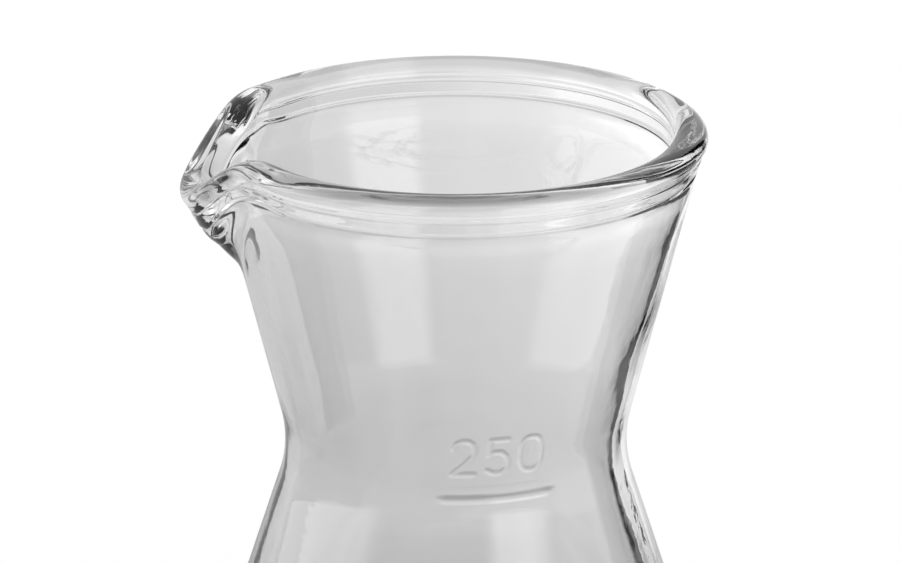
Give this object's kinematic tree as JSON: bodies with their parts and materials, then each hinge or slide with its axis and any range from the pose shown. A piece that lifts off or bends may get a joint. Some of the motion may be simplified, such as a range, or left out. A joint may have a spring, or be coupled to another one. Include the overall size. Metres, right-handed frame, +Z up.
{
  "type": "glass pouring carafe",
  "caption": "Clear pressed-glass pouring carafe with a funnel neck, pinched spout, rounded lip ring, narrow waist with a raised quarter-litre fill line, wide body and flat foot.",
  "frame": {"origin": "centre of the flat foot ring, on the surface the carafe stands on", "axes": "+Z up along the axis of the carafe; the spout points along -X; the fill line faces -Y"},
  "size_m": [0.079, 0.079, 0.1345],
  "materials": {
    "clear_glass": "fire-polished, smooth and clear"
  },
  "bodies": {
    "root": {"carafe": "clear_glass"}
  },
  "joints": []
}
